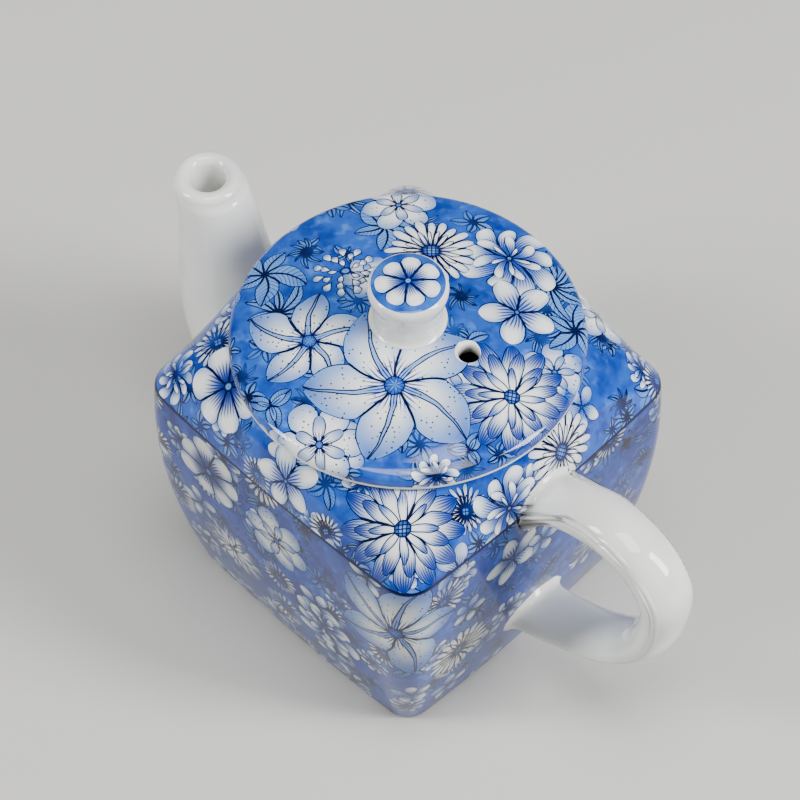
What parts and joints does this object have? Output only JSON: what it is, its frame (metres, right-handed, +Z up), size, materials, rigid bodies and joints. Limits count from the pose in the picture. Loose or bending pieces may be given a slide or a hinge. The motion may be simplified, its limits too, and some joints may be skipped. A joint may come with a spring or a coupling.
{
  "type": "porcelain teapot",
  "caption": "Small square porcelain teapot with rounded corners, round domed lid, S-curved spout, ear-shaped handle and all-over blue flower print.",
  "frame": {"origin": "middle of the whole pot's footprint, spout lip to handle back, on the plane that the foot ring stands on", "axes": "+Z up along the pot's own axis, -X from the pot towards the spout, +X towards the handle, +Y to the left of someone who holds the handle and looks towards the spout"},
  "size_m": [0.1507, 0.0842, 0.1005],
  "materials": {
    "blue_print_glaze": "glossy",
    "lid_print_glaze": "glossy",
    "knob_glaze": "glossy",
    "white_glaze": "glossy",
    "strainer_glaze": "glossy"
  },
  "bodies": {
    "pot": {"body": "blue_print_glaze", "strainer": "strainer_glaze", "spout": "white_glaze", "handle": "white_glaze"},
    "lid_assembly": {"lid": "lid_print_glaze", "knob": "knob_glaze"}
  },
  "joints": [
    {"name": "lid_lift", "type": "slide", "parent": "pot", "child": "lid_assembly", "axis": [0, 0, 1], "range_m": [0, 0.06]}
  ]
}
